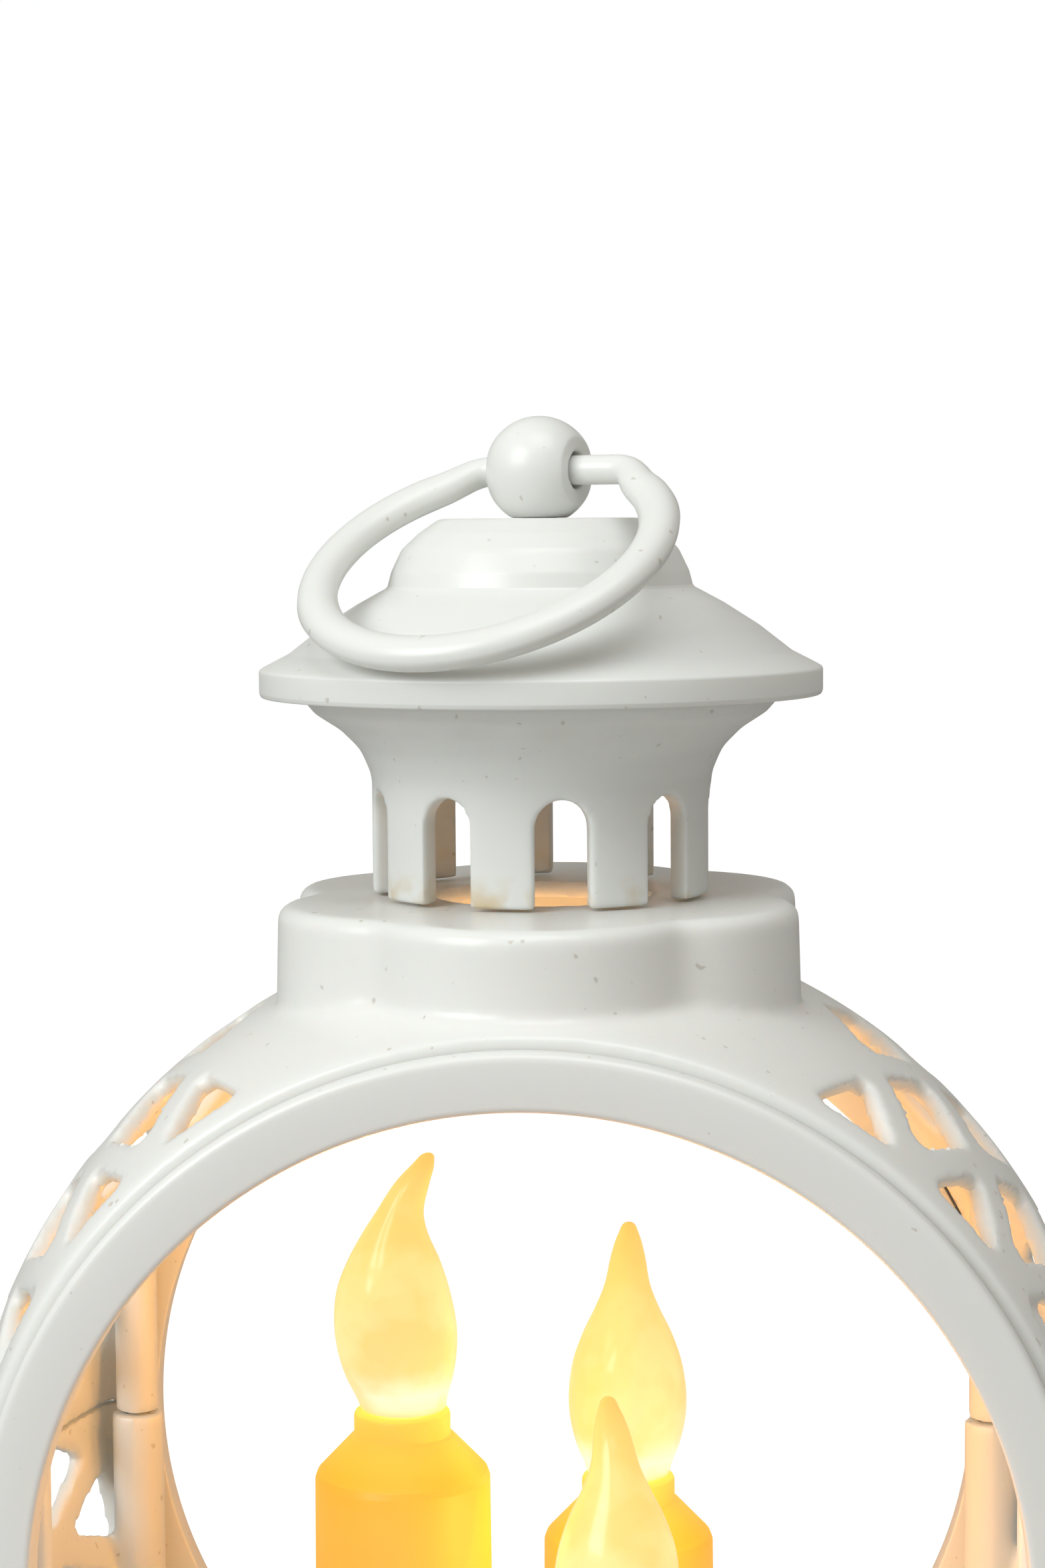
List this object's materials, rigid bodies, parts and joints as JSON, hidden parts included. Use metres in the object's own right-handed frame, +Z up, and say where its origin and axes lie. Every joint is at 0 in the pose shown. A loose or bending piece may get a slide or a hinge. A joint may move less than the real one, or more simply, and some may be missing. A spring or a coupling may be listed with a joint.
{
  "type": "led candle lantern",
  "caption": "Round see-through table lantern with a lattice drum, a small roofed cupola, a hinged hanging ring and battery candles of stepped height on a lobed base.",
  "frame": {"origin": "middle of the base, on the surface that the rubber feet stand on", "axes": "+Z up, -Y is the front that shows the candles, +X to the right seen from the front"},
  "size_m": [0.13, 0.084, 0.2068],
  "materials": {
    "white_plastic": "smooth glossy moulding, slightly translucent",
    "candle_plastic": "satin ivory moulding lit warm from inside",
    "flame_lens": "frosted lens, lit",
    "led_epoxy": "clear lamp body",
    "screw_steel": "zinc plated",
    "foot_rubber": "matt",
    "cell_sleeve": "plain printed sleeve",
    "circuit_board": "solder mask",
    "black_plastic": "moulded",
    "wire_cover": "soft sleeve"
  },
  "bodies": {
    "lantern": {"base_plate": "white_plastic", "base_screw_1": "screw_steel", "base_screw_2": "screw_steel", "base_screw_3": "screw_steel", "base_screw_4": "screw_steel", "battery_box": "black_plastic", "candle_deck": "white_plastic", "candle_mid": "candle_plastic", "candle_short": "candle_plastic", "candle_tall": "candle_plastic", "cell_front": "cell_sleeve", "cell_rear": "cell_sleeve", "contacts_left": "screw_steel", "contacts_right": "screw_steel", "cupola": "white_plastic", "driver_board": "circuit_board", "drum_lower": "white_plastic", "drum_upper": "white_plastic", "finial_ball": "white_plastic", "finial_nut": "screw_steel", "flame_mid": "flame_lens", "flame_short": "flame_lens", "flame_tall": "flame_lens", "front_bezel": "white_plastic", "led_mid": "led_epoxy", "led_short": "led_epoxy", "led_tall": "led_epoxy", "led_wire_mid": "wire_cover", "led_wire_short": "wire_cover", "led_wire_tall": "wire_cover", "plinth": "white_plastic", "plinth_screw_front": "screw_steel", "plinth_screw_rear": "screw_steel", "rear_bezel": "white_plastic", "roof": "white_plastic", "rubber_foot_1": "foot_rubber", "rubber_foot_2": "foot_rubber", "rubber_foot_3": "foot_rubber", "rubber_foot_4": "foot_rubber", "switch_body": "black_plastic"},
    "ring": {"ring_handle": "white_plastic"},
    "door": {"battery_door": "white_plastic", "door_screw": "screw_steel"},
    "slider": {"switch_slider": "black_plastic"}
  },
  "joints": [
    {"name": "ring_swing", "type": "hinge", "parent": "lantern", "child": "ring", "pos_m": [0, 0, 0.2007], "axis": [-0.9085, 0.4179, 0], "range_deg": [0, 240]},
    {"name": "door_lift", "type": "slide", "parent": "lantern", "child": "door", "axis": [0, 0, -1], "range_m": [0, 0.015]},
    {"name": "switch_slide", "type": "slide", "parent": "lantern", "child": "slider", "axis": [1, 0, 0], "range_m": [0, 0.003]}
  ]
}
